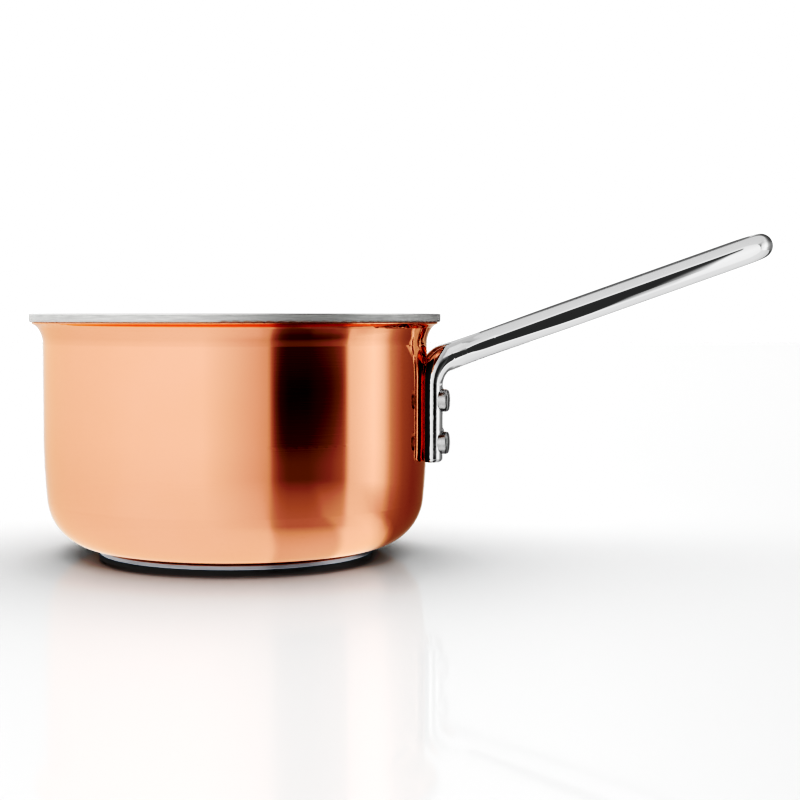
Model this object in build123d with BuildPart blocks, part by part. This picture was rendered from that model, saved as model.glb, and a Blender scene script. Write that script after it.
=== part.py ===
"""A 16 cm saucepan of copper over an aluminium core, with a two-rod steel loop handle.

Frame: Z is the pan's axis, Z = 0 is the face it stands on, and the handle points along +X.
Every layer of the pan is one outline turned about Z, and the layers meet face to face.
"""

import os
from math import asin, cos, degrees, hypot, radians, sin, sqrt, tan

from build123d import *

os.makedirs("parts", exist_ok=True)

# ---------------------------------------------------------------- driving dimensions, mm
inner_radius = 80.0
lining_thickness = 0.5
core_thickness = 2.3
copper_thickness = 0.7
outer_radius = inner_radius + lining_thickness + core_thickness + copper_thickness

plate_radius = 60.2
plate_thickness = 2.1
plate_edge = 0.35
boss_radius = 58.4
bottom_height = 2.65

corner_radius = 22.7
flank_radius = 300.0
flank_top = 52.0

neck_start = 90.7
neck_low_radius = 12.0
neck_low_turn = 35.0
neck_high_radius = 4.64
neck_high_turn = 40.0

rim_radius = 89.4
rim_top = 103.7
rim_corner = 0.8
rim_edge = 0.3
mouth_radius = 4.0

rod_radius = 5.4
rod_slope = 19.6
rod_reference = (157.6, 107.96)
loop_end = 234.2
loop_half_width = 11.8
loop_turn_radius = 11.2
pinch_at = 105.0
pinch_half_width = 4.7
pinch_turn_radius = 24.0
spread_at = 141.0
spread_turn_radius = 60.0
bend_radius = 11.0
bend_steps = 5

foot_angle = 11.6
foot_axis_radius = 86.9
foot_depth = 4.3
foot_half_width = 6.2
foot_bottom = 40.2
foot_end_round = 1.7

rivet_heights = (48.5, 66.6)
shank_radius = 2.5
head_radius = 4.8
head_rise = 3.1
head_round = 1.3
crown = 0.6
inner_head_radius = 4.6
inner_head_height = 1.8
inner_head_round = 1.4

# ---------------------------------------------------------------- the pan's common outline
flank_centre = (outer_radius - flank_radius, flank_top)
corner_height = bottom_height + corner_radius
corner_drop = flank_top - corner_height
corner_centre = (
    flank_centre[0] + sqrt((flank_radius - corner_radius) ** 2 - corner_drop**2),
    corner_height,
)
corner_angle = degrees(asin(corner_drop / (flank_radius - corner_radius)))
neck_low_centre = (outer_radius + neck_low_radius, neck_start)
neck_break = 180 - neck_low_turn
neck_end = neck_break - neck_high_turn
mouth_centre = (inner_radius + mouth_radius, rim_top - mouth_radius)
copper_inside = copper_thickness
core_inside = copper_thickness + core_thickness
lining_inside = core_inside + lining_thickness


def on_circle(centre, radius, angle):
    """The point of a circle at an angle in degrees, as (radius, height)."""
    return (
        centre[0] + radius * cos(radians(angle)),
        centre[1] + radius * sin(radians(angle)),
    )


neck_high_centre = on_circle(neck_low_centre, neck_low_radius - neck_high_radius, neck_break)


def arc(centre, radius, first, last):
    """An arc between two angles in degrees, drawn in the current line."""
    middle = (first + last) / 2
    ThreePointArc(*(on_circle(centre, radius, a) for a in (first, middle, last)))


def body_outline(inset, top):
    """The bowl's outline from the axis to the straight wall's top, inset from the copper's face."""
    corner = corner_radius - inset
    flank = flank_radius - inset
    Line((0, bottom_height + inset), (corner_centre[0], bottom_height + inset))
    arc(corner_centre, corner, -90, -corner_angle)
    arc(flank_centre, flank, -corner_angle, 0)
    Line((outer_radius - inset, flank_top), (outer_radius - inset, top))


def filled_outline(inset):
    """Half the section of everything inside that outline, up to the neck."""
    with BuildSketch(Plane.XZ) as section:
        with BuildLine():
            body_outline(inset, neck_start)
            Line((outer_radius - inset, neck_start), (0, neck_start))
            Line((0, neck_start), (0, bottom_height + inset))
        make_face()
    return section.sketch


def flared_outline(inset):
    """The outline on the copper's side, with the neck that flares out under the rim."""
    body_outline(inset, neck_start)
    arc(neck_low_centre, neck_low_radius + inset, 180, neck_break)
    arc(neck_high_centre, neck_high_radius + inset, neck_break, neck_end)
    return on_circle(neck_high_centre, neck_high_radius + inset, neck_end)


def mouth_outline(inset):
    """The outline on the food's side, rounded over onto the flat top of the rim."""
    body_outline(inset, mouth_centre[1])
    radius = mouth_radius - (lining_inside - inset)
    arc(mouth_centre, radius, 180, 90)
    return on_circle(mouth_centre, radius, 90)


def rivet_planes(radius):
    """A plane across each rivet's axis, that far from the pan's axis and facing outwards."""
    return [
        Plane(
            origin=(radius * cos(radians(a)), radius * sin(radians(a)), height),
            x_dir=(-sin(radians(a)), cos(radians(a)), 0),
            z_dir=(cos(radians(a)), sin(radians(a)), 0),
        )
        for a in (-foot_angle, foot_angle)
        for height in rivet_heights
    ]


def rings_at(piece, radius):
    """The piece's round edges whose centres are that far from the pan's axis."""
    rings = piece.edges().filter_by(GeomType.CIRCLE)
    return [e for e in rings if abs(hypot(e.arc_center.X, e.arc_center.Y) - radius) < 0.01]


def drill_rivet_holes(radius, depth):
    """Cuts the four shank holes inwards from a radius, in the current part."""
    for plane in rivet_planes(radius):
        with BuildSketch(plane) as hole:
            Circle(shank_radius)
        extrude(hole.sketch, amount=-depth, mode=Mode.SUBTRACT)


# ---------------------------------------------------------------- base plate
# The magnetic disc stands on the hob. Its boss is bonded to the copper and leaves a thin groove.
with BuildPart() as base_plate:
    with BuildSketch(Plane.XY):
        Circle(plate_radius)
    extrude(amount=plate_thickness)
    chamfer(base_plate.edges().filter_by(GeomType.CIRCLE), length=plate_edge)
    with BuildSketch(Plane.XY.offset(plate_thickness)):
        Circle(boss_radius)
    extrude(amount=bottom_height - plate_thickness)

# ---------------------------------------------------------------- copper shell
with BuildPart() as copper_shell:
    with BuildSketch(Plane.XZ):
        with BuildLine():
            copper_lip = flared_outline(0)
            core_lip = flared_outline(copper_inside)
            Line(copper_lip, core_lip)
            Line((0, bottom_height), (0, bottom_height + copper_inside))
        make_face()
    revolve(axis=Axis.Z)
    drill_rivet_holes(outer_radius + 2, 6)

# ---------------------------------------------------------------- aluminium core
rim_under = core_lip[1]
rim_seat = rim_top - lining_thickness
with BuildPart() as aluminium_core:
    with BuildSketch(Plane.XZ):
        with BuildLine():
            flared_outline(copper_inside)
            mouth_end = mouth_outline(core_inside)
            Line(core_lip, (rim_radius - rim_corner, rim_under))
            arc((rim_radius - rim_corner, rim_under + rim_corner), rim_corner, -90, 0)
            Line((rim_radius, rim_under + rim_corner), (rim_radius, rim_seat))
            Line((rim_radius, rim_seat), mouth_end)
            Line((0, bottom_height + copper_inside), (0, bottom_height + core_inside))
        make_face()
    revolve(axis=Axis.Z)
    drill_rivet_holes(outer_radius + 2, 8)

# ---------------------------------------------------------------- inner lining
with BuildPart() as inner_lining:
    with BuildSketch(Plane.XZ):
        with BuildLine():
            mouth_outline(core_inside)
            food_end = mouth_outline(lining_inside)
            Line(mouth_end, (rim_radius, rim_seat))
            Line((rim_radius, rim_seat), (rim_radius, rim_top - rim_edge))
            arc((rim_radius - rim_edge, rim_top - rim_edge), rim_edge, 0, 90)
            Line((rim_radius - rim_edge, rim_top), food_end)
            Line((0, bottom_height + core_inside), (0, bottom_height + lining_inside))
        make_face()
    revolve(axis=Axis.Z)
    drill_rivet_holes(outer_radius, 8)

# ---------------------------------------------------------------- handle loop
# One rod, the same on both sides of Y = 0: a foot pressed to an oval, a bend in which the rod
# grows round again, a neck where the two halves nearly touch, and a flat turn at the far end.
foot_face = foot_axis_radius + foot_depth
foot_out = Vector(cos(radians(foot_angle)), sin(radians(foot_angle)), 0)
foot_side = Vector(-foot_out.Y, foot_out.X, 0)
foot_axis = foot_out * foot_axis_radius
up = Vector(0, 0, 1)


def rod_point(x, y):
    """The point of the straight rod's middle line above an x, at its distance to the side."""
    rise = (x - rod_reference[0]) * tan(radians(rod_slope))
    return Vector(x, y, rod_reference[1] + rise)


bend_corner = rod_point(foot_axis.X, foot_axis.Y)
neck = rod_point(pinch_at, pinch_half_width)
spread = rod_point(spread_at, loop_half_width)
turn_corner = rod_point(loop_end - rod_radius, loop_half_width)
bend_exit = (neck - bend_corner).normalized()
bend_turn = up.get_angle(bend_exit)
bend_reach = bend_radius * tan(radians(bend_turn / 2))
bend_level = Vector(bend_exit.X, bend_exit.Y, 0).normalized()
bend_centre = bend_corner - up * bend_reach + bend_level * bend_radius


def bend_plane(share):
    """The plane across the rod at a share of the bend, from 0 at the foot to 1 at the rod."""
    angle = radians(bend_turn * share)
    along = bend_level * sin(angle) + up * cos(angle)
    place = bend_centre + (up * sin(angle) - bend_level * cos(angle)) * bend_radius
    return Plane(place, x_dir=foot_side.cross(along), z_dir=along)


half_loop = [bend_corner + bend_exit * bend_reach, neck, spread, turn_corner]
other_half = [Vector(p.X, -p.Y, p.Z) for p in reversed(half_loop)]
turns = [pinch_turn_radius, spread_turn_radius, loop_turn_radius]

with BuildPart() as handle_loop:
    for step in range(bend_steps + 1):
        share = step / bend_steps
        with BuildSketch(bend_plane(share)):
            Ellipse(
                foot_depth + (rod_radius - foot_depth) * share,
                foot_half_width + (rod_radius - foot_half_width) * share,
            )
    loft()
    with BuildSketch(bend_plane(0)):
        Ellipse(foot_depth, foot_half_width)
    extrude(amount=foot_bottom - bend_plane(0).origin.Z)
    fillet(handle_loop.edges().group_by(Axis.Z)[0], radius=foot_end_round)
    mirror(about=Plane.XZ)
    with BuildLine():
        rod_path = FilletPolyline(*half_loop, *other_half, radius=[*turns, *reversed(turns)])
    with BuildSketch(Plane(rod_path @ 0, z_dir=rod_path % 0)):
        Circle(rod_radius)
    sweep(path=rod_path)
    revolve(filled_outline(0), axis=Axis.Z, mode=Mode.SUBTRACT)
    drill_rivet_holes(foot_face + 1, 12)

# ---------------------------------------------------------------- rivets
# Each rivet grips the foot and all three layers between a crowned head outside and a low one
# inside. The crowned head is closed down onto the rounded foot.
head_top = foot_face + head_rise
shoulder = head_top - crown
with BuildPart() as rivets:
    for plane in rivet_planes(inner_radius - inner_head_height):
        with BuildSketch(plane):
            Circle(inner_head_radius)
        extrude(amount=2 * inner_head_height)
    fillet(rings_at(rivets, inner_radius - inner_head_height), radius=inner_head_round)
    revolve(filled_outline(lining_inside), axis=Axis.Z, mode=Mode.INTERSECT)
    for plane in rivet_planes(0):
        with BuildSketch(Plane(plane.origin, x_dir=plane.z_dir, z_dir=(0, 0, 1))):
            with BuildLine():
                ThreePointArc((head_top, 0), (head_top - crown / 4, head_radius / 2), (shoulder, head_radius))
                Polyline(
                    (shoulder, head_radius),
                    (foot_axis_radius + 1, head_radius),
                    (foot_axis_radius + 1, shank_radius),
                    (inner_radius - inner_head_height / 2, shank_radius),
                    (inner_radius - inner_head_height / 2, 0),
                    (head_top, 0),
                )
            make_face()
        revolve(axis=Axis(plane.origin, plane.z_dir))
    fillet(rings_at(rivets, shoulder), radius=head_round)
    add(handle_loop.part, mode=Mode.SUBTRACT)

for piece, name in (
    (base_plate, "base_plate"),
    (copper_shell, "copper_shell"),
    (aluminium_core, "aluminium_core"),
    (inner_lining, "inner_lining"),
    (handle_loop, "handle_loop"),
    (rivets, "rivets"),
):
    piece.part.label = name
    export_step(piece.part, f"parts/{name}.step")
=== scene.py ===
"""A copper saucepan with a steel loop handle, on a white table in a soft studio.

Metres, in the CAD frame: Z is the pan's axis, the pan stands on Z = 0, the handle points along +X.
"""

import math
import bpy
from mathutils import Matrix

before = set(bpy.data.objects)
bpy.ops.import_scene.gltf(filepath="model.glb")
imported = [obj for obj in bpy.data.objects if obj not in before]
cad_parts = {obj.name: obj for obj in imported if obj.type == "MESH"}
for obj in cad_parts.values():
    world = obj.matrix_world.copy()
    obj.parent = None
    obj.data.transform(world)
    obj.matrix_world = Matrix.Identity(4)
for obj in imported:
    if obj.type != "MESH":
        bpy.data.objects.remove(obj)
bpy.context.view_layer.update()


# ------------------------------------------------------------------ node helpers
class Graph:
    """A node tree with short calls for the nodes this scene uses."""

    def __init__(self, tree):
        tree.nodes.clear()
        self.tree = tree

    def node(self, kind, **settings):
        made = self.tree.nodes.new(kind)
        for name, value in settings.items():
            setattr(made, name, value)
        return made

    def link(self, source, target):
        self.tree.links.new(source, target)

    def feed(self, socket, value):
        """Sets a socket to a number or a colour, or links another socket to it."""
        if isinstance(value, bpy.types.NodeSocket):
            self.link(value, socket)
        else:
            socket.default_value = value

    def math(self, operation, *values, clamp=False):
        made = self.node("ShaderNodeMath", operation=operation, use_clamp=clamp)
        for socket, value in zip(made.inputs, values):
            self.feed(socket, value)
        return made.outputs[0]

    def ramp(self, value, stops, interpolation="LINEAR"):
        """A grey or colour ramp; stops are (position from 0 to 1, grey or colour)."""
        made = self.node("ShaderNodeValToRGB")
        made.color_ramp.interpolation = interpolation
        elements = made.color_ramp.elements
        while len(elements) < len(stops):
            elements.new(1.0)
        for element, (position, tone) in zip(elements, stops):
            element.position = position
            element.color = (*tone, 1) if isinstance(tone, tuple) else (tone, tone, tone, 1)
        self.feed(made.inputs[0], value)
        return made.outputs[0]

    def mix(self, share, first, second):
        """A colour blend, from first at a share of 0 to second at 1."""
        made = self.node("ShaderNodeMix", data_type="RGBA")
        self.feed(made.inputs["Factor"], share)
        self.feed(made.inputs[6], first)
        self.feed(made.inputs[7], second)
        return made.outputs[2]

    def noise(self, place, scale, detail=3.0, roughness=0.5):
        made = self.node("ShaderNodeTexNoise")
        self.feed(made.inputs["Vector"], place)
        self.feed(made.inputs["Scale"], scale)
        self.feed(made.inputs["Detail"], detail)
        self.feed(made.inputs["Roughness"], roughness)
        return made.outputs[0]

    def combine(self, x, y, z):
        made = self.node("ShaderNodeCombineXYZ")
        for socket, value in zip(made.inputs, (x, y, z)):
            self.feed(socket, value)
        return made.outputs[0]

    def separate(self, place):
        made = self.node("ShaderNodeSeparateXYZ")
        self.feed(made.inputs[0], place)
        return made.outputs


# ------------------------------------------------------------------ studio
def degrees_ramp(graph, angle, low, high, stops):
    """A ramp over an angle in radians; stops are (degrees, tone)."""
    span = math.radians(high - low)
    share = graph.math("MULTIPLY_ADD", angle, 1 / span, -math.radians(low) / span)
    return graph.ramp(share, [((at - low) / (high - low), tone) for at, tone in stops])


# Ramps hold tones from 0 to 1, so tones are shares of RAMP_FULL.
RAMP_FULL = 1.25


def tones(*stops):
    return [(at, tone / RAMP_FULL) for at, tone in stops]


# What metal sees, by side and by height in degrees, where 0 is the front (-Y) and level. Past
# overhead and underfoot (OVER) and straight behind (BACK) it sees an even tone.
PANEL_TONES = tones(
    (-180, 0.62), (-161, 0.83), (-142, 0.89), (-59, 0.945), (-16, 0.95), (14.5, 0.775), (24, 0.70),
    (74, 0.885), (91, 1.02), (96, 0.97), (100, 0.90), (107, 0.65), (120, 0.50), (133, 0.45),
    (160, 0.47), (180, 0.62),
)
PANEL_HEIGHT = [(-60, 0.93), (-25, 0.93), (-9, 0.97), (0, 1.0), (25, 1.0), (50, 0.78)]
GAP_SHARE = [
    (21.8, 0.0), (24.7, 0.57), (28.4, 0.87), (33, 1.0), (45, 1.0), (59, 0.85), (66.3, 0.72),
    (68.5, 0.62), (72.5, 0.0),
]
GAP_HEIGHT = tones(
    (-45, 0.12), (-30, 0.27), (-24, 0.33), (-16, 0.365), (-9, 0.37), (-6, 0.335), (-4.8, 0.30),
    (-3.7, 0.20), (-2, 0.19), (-1.3, 0.29), (30, 0.30), (55, 0.78),
)
OVER_SHARE = [(-165, 1.0), (-155, 0.0), (140, 0.0), (150, 1.0)]
OVER_TONE = (0.8, 0.8, 0.8, 1)
BACK_SHARE = [(-18, 0.0), (-9, 1.0), (9, 1.0), (18, 0.0)]
BACK_TONE = (0.52, 0.52, 0.52, 1)
BOUNCE_TONE = (0.38, 0.56, 0.66, 1)

# The light that falls on matt surfaces, and the white that the camera sees behind everything.
ROOM_LIGHT = 0.38
ROOM_FROM_ABOVE = 1.45
ROOM_FROM_BEHIND = 1.3
PAPER_LIGHT = 1.1


def build_world():
    """White studio. Metal sees a panel on the left, a dark gap and a strip on the right.

    Each direction has a wall that would mirror it to the front. Its side is twice that wall's
    turn from the front, and its height is its rise as that wall faces it, so the panel, the gap
    and the strip keep upright edges on the pan. A matt surface that is lit by way of metal gets
    BOUNCE_TONE instead, which keeps the copper's glow on the table pale.
    """
    world = bpy.data.worlds.new("studio")
    bpy.context.scene.world = world
    world.use_nodes = True
    graph = Graph(world.node_tree)
    x, y, z = graph.separate(graph.node("ShaderNodeTexCoord").outputs["Generated"])
    half = graph.math("ARCTAN2", x, graph.math("SUBTRACT", 1.0, y))
    side = graph.math("MULTIPLY", half, 2.0)
    along_x = graph.math("MULTIPLY", x, graph.math("SINE", half))
    along_y = graph.math("MULTIPLY", y, graph.math("COSINE", half))
    height = graph.math("ARCTAN2", z, graph.math("SUBTRACT", along_x, along_y))

    lit = graph.mix(
        1.0,
        degrees_ramp(graph, side, -180, 180, PANEL_TONES),
        degrees_ramp(graph, height, -180, 180, PANEL_HEIGHT),
    )
    lit.node.blend_type = "MULTIPLY"
    gap_share = degrees_ramp(graph, side, -180, 180, GAP_SHARE)
    seen = graph.mix(gap_share, lit, degrees_ramp(graph, height, -180, 180, GAP_HEIGHT))
    seen = graph.mix(degrees_ramp(graph, height, -180, 180, OVER_SHARE), seen, OVER_TONE)
    from_behind = degrees_ramp(graph, graph.math("ARCTAN2", x, y), -40, 40, BACK_SHARE)
    seen = graph.mix(from_behind, seen, BACK_TONE)

    path = graph.node("ShaderNodeLightPath").outputs
    bounced = graph.math("GREATER_THAN", path["Diffuse Depth"], 0.5)
    metal = graph.node("ShaderNodeBackground")
    graph.feed(metal.inputs["Color"], graph.mix(bounced, seen, BOUNCE_TONE))
    graph.feed(metal.inputs["Strength"], RAMP_FULL)
    room = graph.node("ShaderNodeBackground")
    graph.feed(room.inputs["Color"], (1, 1, 1, 1))
    above = graph.math("MULTIPLY_ADD", graph.math("MULTIPLY", z, z), ROOM_FROM_ABOVE, ROOM_LIGHT)
    slope = graph.math("MULTIPLY_ADD", y, ROOM_FROM_BEHIND, above)
    graph.feed(room.inputs["Strength"], graph.math("MAXIMUM", slope, 0.0))
    paper = graph.node("ShaderNodeBackground")
    graph.feed(paper.inputs["Color"], (1, 1, 1, 1))
    graph.feed(paper.inputs["Strength"], PAPER_LIGHT)
    shown = graph.node("ShaderNodeMixShader")
    graph.feed(shown.inputs[0], path["Is Camera Ray"])
    graph.link(room.outputs[0], shown.inputs[1])
    graph.link(paper.outputs[0], shown.inputs[2])
    choose = graph.node("ShaderNodeMixShader")
    graph.feed(choose.inputs[0], path["Is Glossy Ray"])
    graph.link(shown.outputs[0], choose.inputs[1])
    graph.link(metal.outputs[0], choose.inputs[2])
    graph.link(choose.outputs[0], graph.node("ShaderNodeOutputWorld").inputs[0])


# The table. Metal sees it only from close by, as a painted glow: a share by distance, and its painted
# tone round Z.
FLOOR_HALF = 6.0
FLOOR_WHITE = (0.9, 0.9, 0.9, 1)
FLOOR_ROUGHNESS = 0.05
FLOOR_MIRROR = 0.19
FLOOR_REACH = 0.2
FLOOR_SHARE = [
    (0.05, 1.0), (0.12, 0.85), (0.185, 0.6), (0.3, 0.5), (0.5, 0.38), (0.7, 0.25), (1.0, 0.0),
]
FLOOR_GLOW_TONES = [
    (-180, 0.9), (15, 0.885), (17.5, 0.77), (40, 0.80), (44, 0.95), (58, 0.95), (63, 0.88),
    (67, 0.78), (71, 0.57), (76, 0.44), (150, 0.42), (180, 0.9),
]


def build_floor():
    """A white table that mirrors a little, far wider than the view; metal sees a painted glow on it."""
    mesh = bpy.data.meshes.new("floor")
    corners = [(FLOOR_HALF * x, FLOOR_HALF * y, 0) for x, y in ((-1, -1), (1, -1), (1, 1), (-1, 1))]
    mesh.from_pydata(corners, [], [(0, 1, 2, 3)])
    floor = bpy.data.objects.new("floor", mesh)
    bpy.context.scene.collection.objects.link(floor)
    material = bpy.data.materials.new("white_table")
    material.use_nodes = True
    graph = Graph(material.node_tree)
    matt = graph.node("ShaderNodeBsdfDiffuse")
    graph.feed(matt.inputs["Color"], FLOOR_WHITE)
    mirror = graph.node("ShaderNodeBsdfGlossy")
    graph.feed(mirror.inputs["Roughness"], FLOOR_ROUGHNESS)
    table = graph.node("ShaderNodeMixShader")
    graph.feed(table.inputs[0], FLOOR_MIRROR)
    graph.link(matt.outputs[0], table.inputs[1])
    graph.link(mirror.outputs[0], table.inputs[2])
    x, y, z = graph.separate(graph.node("ShaderNodeTexCoord").outputs["Object"])
    around = graph.math("ARCTAN2", x, graph.math("MULTIPLY", y, -1.0))
    # Metal sees the table as this glow: painted light, darker in stretches round Z, not the table's own
    # lit shade.
    painted_table_glow = graph.node("ShaderNodeEmission")
    graph.feed(painted_table_glow.inputs["Color"], degrees_ramp(graph, around, -180, 180, FLOOR_GLOW_TONES))
    path = graph.node("ShaderNodeLightPath").outputs
    top = graph.node("ShaderNodeMixShader")
    graph.feed(top.inputs[0], path["Is Glossy Ray"])
    graph.link(table.outputs[0], top.inputs[1])
    graph.link(painted_table_glow.outputs[0], top.inputs[2])
    near = graph.ramp(graph.math("MULTIPLY", path["Ray Length"], 1 / FLOOR_REACH), FLOOR_SHARE)
    straight = graph.math("LESS_THAN", path["Diffuse Depth"], 0.5)
    lack = graph.math("MULTIPLY_ADD", near, straight, -1.0)
    clear = graph.node("ShaderNodeBsdfTransparent")
    solid = graph.node("ShaderNodeMixShader")
    graph.feed(solid.inputs[0], graph.math("MULTIPLY_ADD", path["Is Glossy Ray"], lack, 1.0))
    graph.link(clear.outputs[0], solid.inputs[1])
    graph.link(top.outputs[0], solid.inputs[2])
    graph.link(solid.outputs[0], graph.node("ShaderNodeOutputMaterial").inputs[0])
    mesh.materials.append(material)


def card(name, corners, faces, reach, paint):
    """A glowing card that only metal within reach metres of its front sees; paint(graph) is its tone,
    which metal shows as a painted reflection.
    """
    mesh = bpy.data.meshes.new(name)
    mesh.from_pydata(corners, [], faces)
    made = bpy.data.objects.new(name, mesh)
    bpy.context.scene.collection.objects.link(made)
    made.visible_camera = False
    made.visible_diffuse = False
    made.visible_shadow = False
    material = bpy.data.materials.new(name)
    material.use_nodes = True
    graph = Graph(material.node_tree)
    glow = graph.node("ShaderNodeEmission")
    graph.feed(glow.inputs["Color"], paint(graph))
    clear = graph.node("ShaderNodeBsdfTransparent")
    sides = graph.node("ShaderNodeMixShader")
    behind = graph.node("ShaderNodeNewGeometry").outputs["Backfacing"]
    distance = graph.node("ShaderNodeLightPath").outputs["Ray Length"]
    far = graph.math("GREATER_THAN", distance, reach)
    graph.feed(sides.inputs[0], graph.math("MAXIMUM", behind, far))
    graph.link(glow.outputs[0], sides.inputs[1])
    graph.link(clear.outputs[0], sides.inputs[2])
    graph.link(sides.outputs[0], graph.node("ShaderNodeOutputMaterial").inputs[0])
    mesh.materials.append(material)


# The near rod's axis: its slope, a place on it (x and z) and its distance from the plane y = 0.
ROD_SLOPE = math.radians(19.6)
ROD_AT = 0.1576
ROD_HEIGHT = 0.108
ROD_SIDE = 0.0118

# The tent round the handle: a tube of four flat sides that glows for the handle's metal only, and its
# tones by degrees round the rod, where 0 is the front and 90 the top, which the rod shows as painted
# reflections.
TENT_ENDS = (0.105, 0.258)
TENT_HALF_WIDTH = 0.0278
TENT_HALF_HEIGHT = 0.017
TENT_REACH = 0.036
TENT_REFLECTION_TONES = [
    (-180, 0.75), (-176, 0.75), (-172, 0.3), (-144, 0.3), (-139, 0.70), (-120, 0.74), (-90, 0.80),
    (-60, 0.82), (-50, 0.93), (0, 0.97), (42, 0.87), (50, 0.76), (142, 0.72), (145, 0.42),
    (160, 0.42), (165, 0.75), (180, 0.75),
]

# The dark band in front of the rod, a painted dark stripe in the rod's reflection: its lower edge in
# degrees and how soft that edge is, each as a share of a range, by the share of the way along the
# handle. Its upper edge is straight.
PAINTED_STRIPE_TONE = (0.33, 0.33, 0.33, 1)
BAND_FROM = 0.1
BAND_LENGTH = 0.14
BAND_LOWEST = -60.0
BAND_SPAN = 100.0
BAND_SOFTEST = 70.0
BAND_TOP = 37.0
BAND_TOP_SOFT = 3.0
BAND_LOW = [
    (0.0, 0.15), (0.3, 0.12), (0.43, 0.12), (0.557, 0.08), (0.68, 0.10), (0.75, 0.40),
    (0.807, 0.74), (0.84, 0.80), (0.87, 1.0),
]
BAND_SOFT = [(0.43, 0.06), (0.557, 0.5), (0.68, 0.88), (0.75, 0.6), (0.807, 0.2), (0.943, 0.12)]

# The card between the copper and the near foot, whose dark glow is a painted dark reflection on the
# foot: degrees round the pan's axis, and metres.
FOOT_CARD_START = -12.5
FOOT_CARD_STEP = -4.0
FOOT_CARD_STEPS = 12
FOOT_CARD_RADIUS = 0.0845
FOOT_CARD_HEIGHTS = (0.036, 0.09)
FOOT_CARD_REACH = 0.045
FOOT_CARD_DARK_TONES = [
    (-60, 0.40), (-44, 0.36), (-38, 0.30), (-30, 0.44), (-24, 0.34), (-18, 0.26), (-12, 0.22),
]


def paint_tent_reflections(graph):
    """Painted reflections for the rod: light above and below it and a dark band in front, which thins
    towards the loop's end.
    """
    x, y, z = graph.separate(graph.node("ShaderNodeTexCoord").outputs["Object"])
    rise = math.tan(ROD_SLOPE)
    axis = graph.math("MULTIPLY_ADD", x, rise, ROD_HEIGHT - ROD_AT * rise)
    lift = graph.math("MULTIPLY", graph.math("SUBTRACT", z, axis), math.cos(ROD_SLOPE))
    ahead = graph.math("MULTIPLY", graph.math("ADD", y, ROD_SIDE), -1.0)
    turn = graph.math("ARCTAN2", lift, ahead)
    light = degrees_ramp(graph, turn, -180, 180, TENT_REFLECTION_TONES)
    degrees = graph.math("MULTIPLY", turn, 180 / math.pi)
    share = graph.math("MULTIPLY_ADD", x, 1 / BAND_LENGTH, -BAND_FROM / BAND_LENGTH)
    low = graph.math("MULTIPLY_ADD", graph.ramp(share, BAND_LOW), BAND_SPAN, BAND_LOWEST)
    soft = graph.math("MULTIPLY", graph.ramp(share, BAND_SOFT), BAND_SOFTEST)
    from_low = graph.math("DIVIDE", graph.math("SUBTRACT", degrees, low), soft, clamp=True)
    from_high = graph.math(
        "MULTIPLY_ADD", degrees, -1 / BAND_TOP_SOFT, BAND_TOP / BAND_TOP_SOFT, clamp=True
    )
    # Mix in the painted dark stripe of the rod's reflection.
    return graph.mix(graph.math("MULTIPLY", from_low, from_high), light, PAINTED_STRIPE_TONE)


def paint_foot_dark_reflection(graph):
    """Painted dark reflection for the foot: dark and mid grey stripes down the card."""
    x, y, z = graph.separate(graph.node("ShaderNodeTexCoord").outputs["Object"])
    return degrees_ramp(graph, graph.math("ARCTAN2", y, x), -60, 0, FOOT_CARD_DARK_TONES)


def build_tent():
    """A glowing tube round the handle's loop, which follows its slope and paints the rod's reflections.
    """
    sides = ((-1, -1), (1, -1), (1, 1), (-1, 1))
    corners = []
    for x in TENT_ENDS:
        z = ROD_HEIGHT + (x - ROD_AT) * math.tan(ROD_SLOPE)
        for side, lift in sides:
            corners.append((x, side * TENT_HALF_WIDTH, z + lift * TENT_HALF_HEIGHT))
    faces = [(k, 4 + k, 4 + (k + 1) % 4, (k + 1) % 4) for k in range(4)]
    card("handle_reflection_tent", corners, faces, TENT_REACH, paint_tent_reflections)


def build_foot_card():
    """A bent card that hides the copper from the near foot and gives it a painted dark reflection
    instead.
    """
    corners = []
    for step in range(FOOT_CARD_STEPS + 1):
        angle = math.radians(FOOT_CARD_START + FOOT_CARD_STEP * step)
        for z in FOOT_CARD_HEIGHTS:
            corners.append((FOOT_CARD_RADIUS * math.cos(angle), FOOT_CARD_RADIUS * math.sin(angle), z))
    faces = [(2 * k, 2 * k + 1, 2 * k + 3, 2 * k + 2) for k in range(FOOT_CARD_STEPS)]
    card("foot_card", corners, faces, FOOT_CARD_REACH, paint_foot_dark_reflection)


# ------------------------------------------------------------------ camera and print
# The photograph's viewing angle: metres, degrees below level, millimetres, shares of the frame.
CAMERA_AT = (0.0403, -0.6926, 0.1019)
CAMERA_DOWN = 2.98
CAMERA_LENS = 70.97
CAMERA_SENSOR = 36.0
CAMERA_SHIFT = 0.09
CAMERA_CLIP = (0.01, 50.0)
PRINT_CURVE = [
    (0.2, 0.0), (0.275, 0.013), (0.32, 0.045), (0.36, 0.085), (0.412, 0.195), (0.479, 0.328),
    (0.539, 0.456), (0.629, 0.617), (0.681, 0.715), (0.728, 0.776), (0.83, 0.885), (0.887, 0.95),
    (0.93, 1.0),
]


def build_camera():
    data = bpy.data.cameras.new("camera")
    camera = bpy.data.objects.new("camera", data)
    bpy.context.scene.collection.objects.link(camera)
    data.sensor_width = CAMERA_SENSOR
    data.lens = CAMERA_LENS
    data.shift_x = CAMERA_SHIFT
    data.dof.use_dof = False
    data.clip_start, data.clip_end = CAMERA_CLIP
    camera.location = CAMERA_AT
    camera.rotation_euler = (math.radians(90 - CAMERA_DOWN), 0, 0)
    bpy.context.scene.camera = camera


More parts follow.
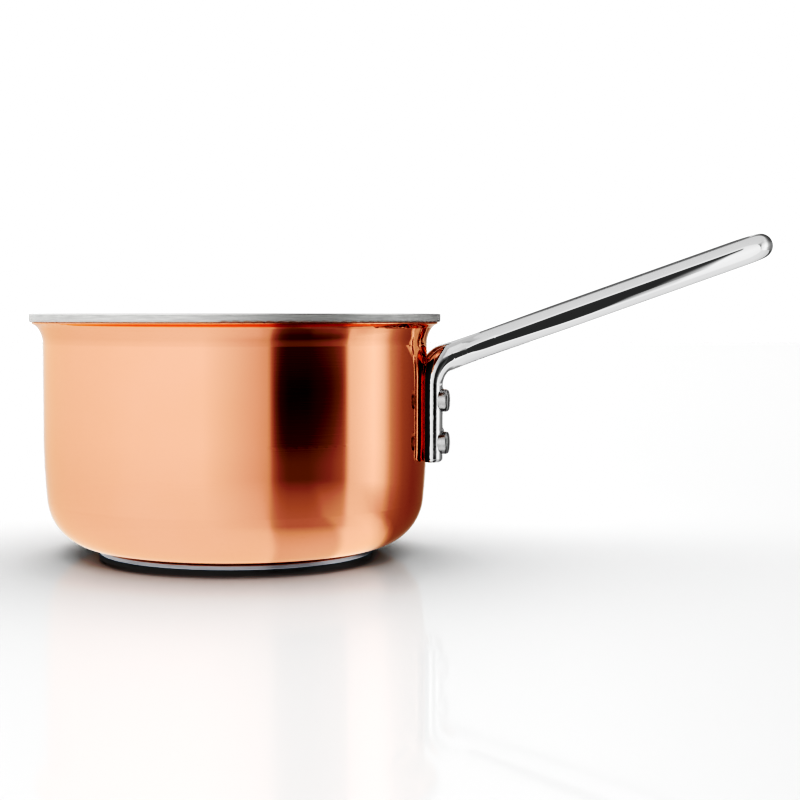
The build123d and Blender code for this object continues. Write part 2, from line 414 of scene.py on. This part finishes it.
def set_contrast():
    """Standard view with the steep print curve of a product picture."""
    view = bpy.context.scene.view_settings
    view.view_transform = "Standard"
    view.look = "None"
    view.use_curve_mapping = True
    curve = view.curve_mapping.curves[3]
    for x, y in PRINT_CURVE:
        curve.points.new(x, y)
    for point in curve.points:
        point.handle_type = "VECTOR"
    view.curve_mapping.update()


# ------------------------------------------------------------------ metals
WHITE = (1, 1, 1, 1)
EDGE_TINTS = {"copper": (1.0, 0.93, 0.86, 1)}
BUMP_DISTANCE = 0.0001


def metal(name, paint):
    """A metal; paint(graph, place) returns its colour, roughness, bump height and bump strength."""
    material = bpy.data.materials.new(name)
    material.use_nodes = True
    graph = Graph(material.node_tree)
    tint, rough, bump, strength = paint(graph, graph.node("ShaderNodeTexCoord").outputs["Object"])
    shader = graph.node("ShaderNodeBsdfPrincipled")
    graph.feed(shader.inputs["Metallic"], 1.0)
    graph.feed(shader.inputs["Specular Tint"], EDGE_TINTS.get(name, WHITE))
    graph.feed(shader.inputs["Base Color"], tint)
    graph.feed(shader.inputs["Roughness"], rough)
    relief = graph.node("ShaderNodeBump")
    graph.feed(relief.inputs["Strength"], strength)
    graph.feed(relief.inputs["Distance"], BUMP_DISTANCE)
    graph.feed(relief.inputs["Height"], bump)
    graph.link(relief.outputs[0], shader.inputs["Normal"])
    graph.link(shader.outputs[0], graph.node("ShaderNodeOutputMaterial").inputs[0])
    return material


def turned(graph, place, across, along):
    """Noise places that give lines turned round Z: a larger across is finer, a larger along shorter."""
    x, y, z = graph.separate(place)
    square = graph.math("MULTIPLY_ADD", x, x, graph.math("MULTIPLY", y, y))
    radius = graph.math("SQRT", square)
    angle = graph.math("ARCTAN2", y, x)
    lift = graph.math("MULTIPLY", graph.math("ADD", z, radius), across)
    return graph.combine(
        graph.math("MULTIPLY", graph.math("COSINE", angle), along),
        graph.math("MULTIPLY", graph.math("SINE", angle), along),
        lift,
    )


def paint_copper(graph, place):
    lines = graph.noise(turned(graph, place, 2600, 3), 1.0, 2.0)
    cloud = graph.noise(place, 26.0, 2.0)
    shade = graph.ramp(cloud, [(0.35, 0.0), (0.65, 1.0)])
    tint = graph.mix(shade, (0.955, 0.64, 0.54, 1), (0.95, 0.632, 0.528, 1))
    rough = graph.math("MULTIPLY_ADD", lines, 0.05, 0.035)
    return tint, rough, lines, 0.035


def paint_aluminium(graph, place):
    lines = graph.noise(turned(graph, place, 3200, 9), 1.0, 4.0, 0.65)
    patches = graph.noise(turned(graph, place, 700, 16), 1.0, 3.0)
    tint = graph.mix(lines, (0.62, 0.62, 0.62, 1), (0.94, 0.94, 0.93, 1))
    rough = graph.math("MULTIPLY_ADD", patches, 0.25, 0.46)
    return tint, rough, lines, 0.5


def paint_lining(graph, place):
    lines = graph.noise(turned(graph, place, 2200, 5), 1.0, 3.0, 0.6)
    patches = graph.noise(place, 30.0, 2.0)
    tint = graph.mix(lines, (0.80, 0.797, 0.79, 1), (0.97, 0.967, 0.96, 1))
    rough = graph.math("MULTIPLY_ADD", patches, 0.14, 0.3)
    return tint, rough, lines, 0.25


def paint_base(graph, place):
    lines = graph.noise(turned(graph, place, 2400, 4), 1.0, 4.0, 0.6)
    tint = graph.mix(lines, (0.44, 0.44, 0.45, 1), (0.68, 0.68, 0.69, 1))
    rough = graph.math("MULTIPLY_ADD", lines, 0.2, 0.22)
    return tint, rough, lines, 0.4


def paint_handle(graph, place):
    cloud = graph.noise(place, 60.0, 3.0)
    grain = graph.noise(place, 900.0, 2.0)
    tint = graph.mix(cloud, (0.84, 0.84, 0.845, 1), (0.88, 0.88, 0.88, 1))
    rough = graph.math("MULTIPLY_ADD", grain, 0.03, 0.02)
    return tint, rough, cloud, 0.12


def paint_rivets(graph, place):
    cloud = graph.noise(place, 420.0, 3.0)
    tint = graph.mix(cloud, (0.56, 0.56, 0.56, 1), (0.78, 0.78, 0.78, 1))
    rough = graph.math("MULTIPLY_ADD", cloud, 0.16, 0.08)
    return tint, rough, cloud, 0.5


FINISHES = {
    "copper_shell": ("copper", paint_copper),
    "aluminium_core": ("aluminium", paint_aluminium),
    "inner_lining": ("lining_steel", paint_lining),
    "base_plate": ("base_steel", paint_base),
    "handle_loop": ("handle_steel", paint_handle),
    "rivets": ("rivet_steel", paint_rivets),
}


def dress_nodes():
    for name, finish in FINISHES.items():
        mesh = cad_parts[name].data
        mesh.materials.clear()
        mesh.materials.append(metal(*finish))
        for polygon in mesh.polygons:
            polygon.use_smooth = True


build_world()
build_floor()
build_tent()
build_foot_card()
build_camera()
set_contrast()
dress_nodes()
